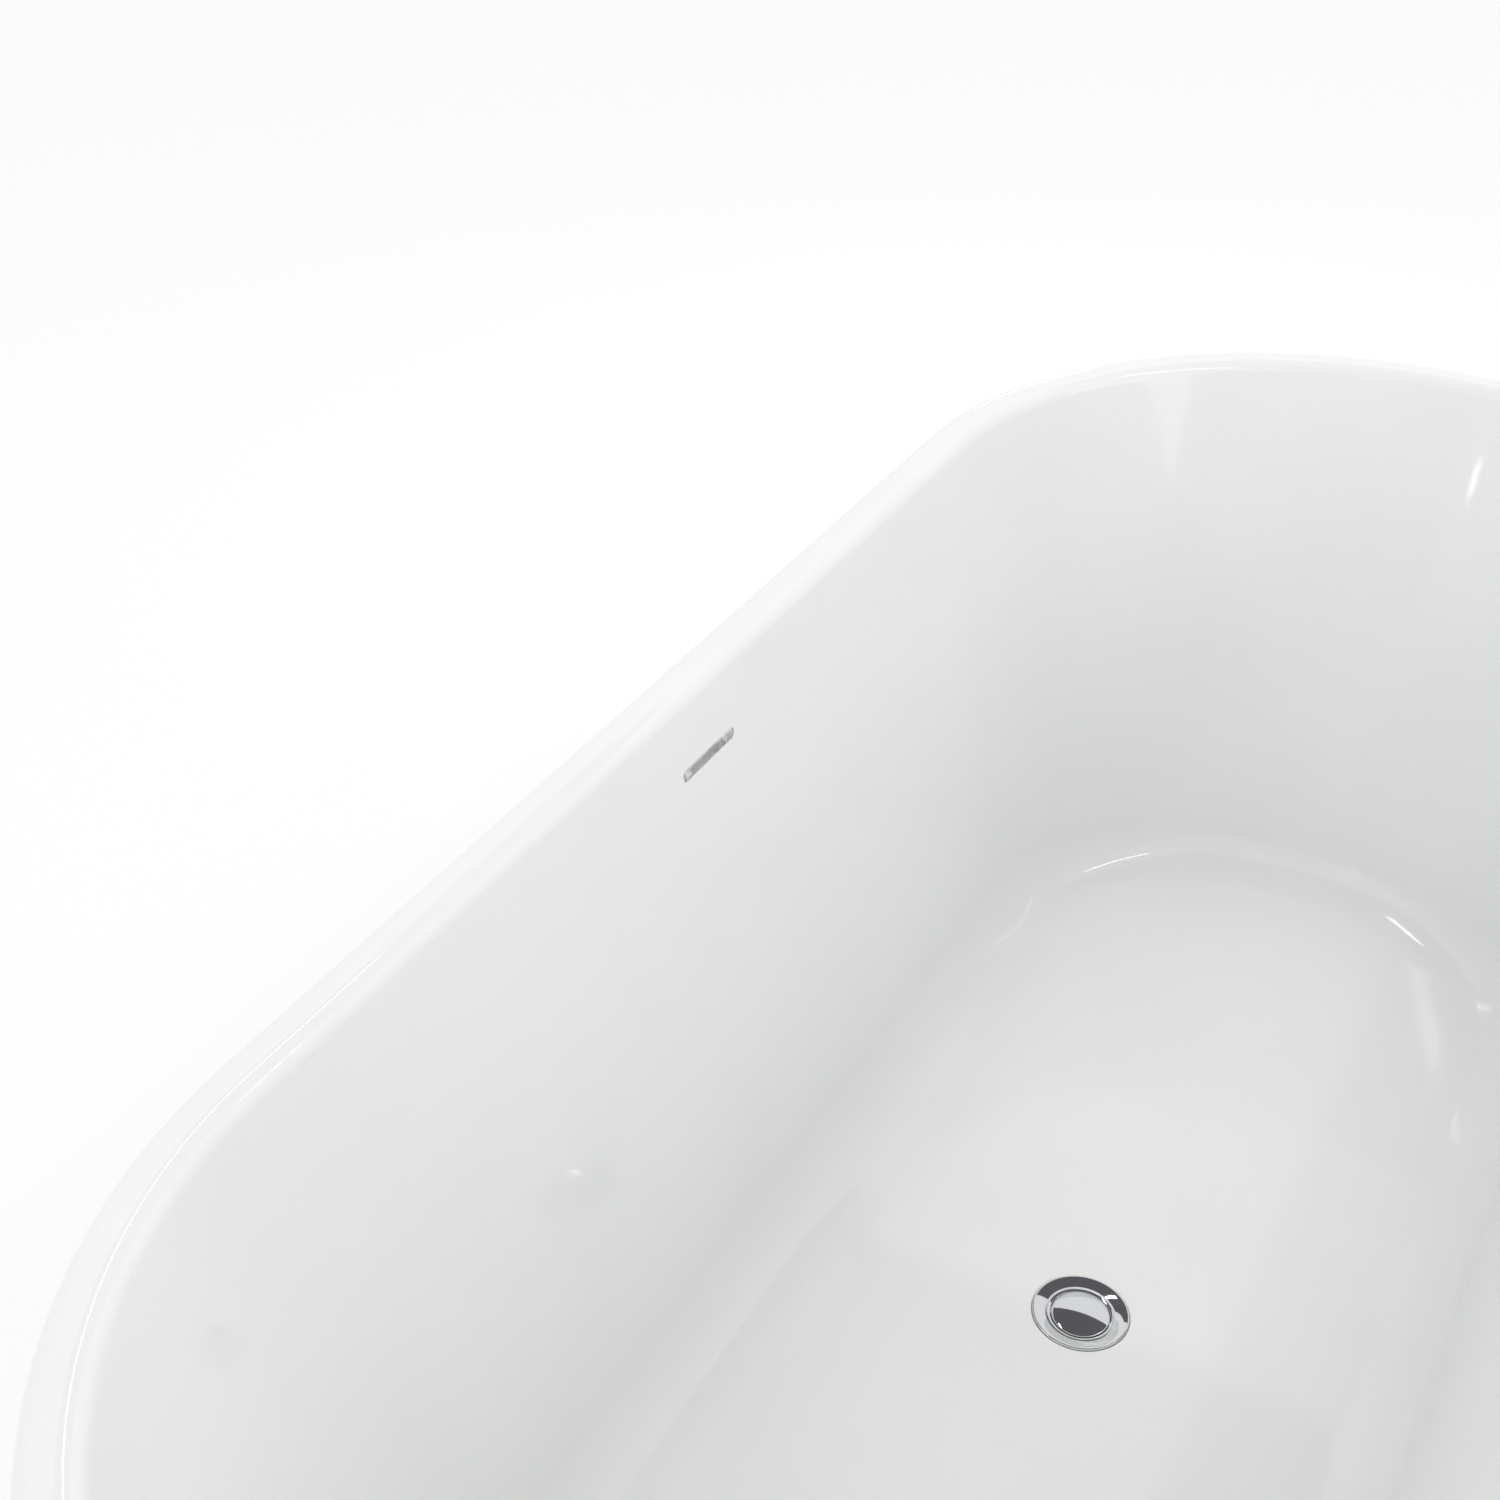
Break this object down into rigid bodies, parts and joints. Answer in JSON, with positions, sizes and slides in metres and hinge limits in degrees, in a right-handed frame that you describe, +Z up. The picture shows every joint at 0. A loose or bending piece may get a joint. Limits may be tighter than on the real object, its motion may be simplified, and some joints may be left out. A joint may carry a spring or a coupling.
{
  "type": "freestanding bathtub",
  "caption": "Freestanding oval bathtub with a double acrylic wall, rolled rim, slot overflow, centre pop-up drain and screw feet.",
  "frame": {"origin": "on the floor under the middle of the tub, the centre of the bounding box's bottom", "axes": "+X along the tub, +Y towards the wall with the overflow slot, +Z up"},
  "size_m": [1.7, 0.75, 0.6],
  "materials": {
    "acrylic": "high-gloss white sanitary acrylic, vacuum formed",
    "glass_fibre": "sprayed glass-fibre laminate, off-white resin",
    "plywood": "birch plywood",
    "frame_paint": "grey powder-coated steel tube",
    "black_nylon": "moulded black nylon",
    "rubber": "black EPDM rubber",
    "chrome": "polished chrome plate on brass",
    "brass": "turned brass",
    "stainless": "stainless steel",
    "white_abs": "moulded white ABS",
    "hose_pvc": "grey flexible PVC hose",
    "zinc_steel": "zinc-plated steel"
  },
  "bodies": {
    "root": {"base_board": "plywood", "basin": "acrylic", "basin_laminate": "glass_fibre", "block_screws": "zinc_steel", "board_screws": "zinc_steel", "bracket_bolts": "zinc_steel", "cartridge_spring": "stainless", "click_cartridge": "brass", "cross_bar_back": "frame_paint", "cross_bar_front": "frame_paint", "drain_body": "white_abs", "drain_flange": "chrome", "drain_lock_nut": "white_abs", "drain_slip_washer": "white_abs", "drain_tailpiece": "white_abs", "drain_under_gasket": "rubber", "flange_gasket": "rubber", "foot_lock_nuts": "zinc_steel", "foot_weld_nuts": "zinc_steel", "frame_rail_left": "frame_paint", "frame_rail_right": "frame_paint", "hose_clamp_lower": "stainless", "hose_clamp_upper": "stainless", "overflow_box": "white_abs", "overflow_hose": "hose_pvc", "rail_end_caps": "black_nylon", "rim_stiffener": "glass_fibre", "skirt": "acrylic", "skirt_blocks": "plywood", "skirt_brackets": "zinc_steel", "slot_gasket": "rubber", "tailpiece_nut": "white_abs", "tailpiece_washer": "rubber"},
    "stopper": {"stopper_cap": "chrome", "stopper_seal": "rubber", "stopper_stem": "brass"},
    "pad_front_left": {"foot_pad_front_left": "black_nylon", "foot_sole_front_left": "rubber"},
    "stud_front_left": {"foot_stud_front_left": "zinc_steel"},
    "pad_front_right": {"foot_pad_front_right": "black_nylon", "foot_sole_front_right": "rubber"},
    "stud_front_right": {"foot_stud_front_right": "zinc_steel"},
    "pad_back_left": {"foot_pad_back_left": "black_nylon", "foot_sole_back_left": "rubber"},
    "stud_back_left": {"foot_stud_back_left": "zinc_steel"},
    "pad_back_right": {"foot_pad_back_right": "black_nylon", "foot_sole_back_right": "rubber"},
    "stud_back_right": {"foot_stud_back_right": "zinc_steel"}
  },
  "joints": [
    {"name": "stopper_lift", "type": "slide", "parent": "root", "child": "stopper", "axis": [0, 0, 1], "range_m": [0, 0.009], "deforming": ["cartridge_spring"]},
    {"name": "foot_height_front_left", "type": "slide", "parent": "root", "child": "pad_front_left", "axis": [0, 0, 1], "range_m": [-0.0123, 0.0053]},
    {"name": "stud_turn_front_left", "type": "hinge", "parent": "pad_front_left", "child": "stud_front_left", "pos_m": [0.43, 0.19, 0.01], "axis": [0, 0, 1], "range_deg": [-2535, 1095]},
    {"name": "foot_height_front_right", "type": "slide", "parent": "root", "child": "pad_front_right", "axis": [0, 0, 1], "range_m": [-0.0123, 0.0053]},
    {"name": "stud_turn_front_right", "type": "hinge", "parent": "pad_front_right", "child": "stud_front_right", "pos_m": [0.43, -0.19, 0.01], "axis": [0, 0, 1], "range_deg": [-2535, 1095]},
    {"name": "foot_height_back_left", "type": "slide", "parent": "root", "child": "pad_back_left", "axis": [0, 0, 1], "range_m": [-0.0123, 0.0053]},
    {"name": "stud_turn_back_left", "type": "hinge", "parent": "pad_back_left", "child": "stud_back_left", "pos_m": [-0.43, 0.19, 0.01], "axis": [0, 0, 1], "range_deg": [-2535, 1095]},
    {"name": "foot_height_back_right", "type": "slide", "parent": "root", "child": "pad_back_right", "axis": [0, 0, 1], "range_m": [-0.0123, 0.0053]},
    {"name": "stud_turn_back_right", "type": "hinge", "parent": "pad_back_right", "child": "stud_back_right", "pos_m": [-0.43, -0.19, 0.01], "axis": [0, 0, 1], "range_deg": [-2535, 1095]}
  ],
  "couplings": [
    {"joint": "stud_turn_front_left", "follows": "foot_height_front_left", "rad_per_m": 3590.4},
    {"joint": "stud_turn_front_right", "follows": "foot_height_front_right", "rad_per_m": 3590.4},
    {"joint": "stud_turn_back_left", "follows": "foot_height_back_left", "rad_per_m": 3590.4},
    {"joint": "stud_turn_back_right", "follows": "foot_height_back_right", "rad_per_m": 3590.4}
  ]
}
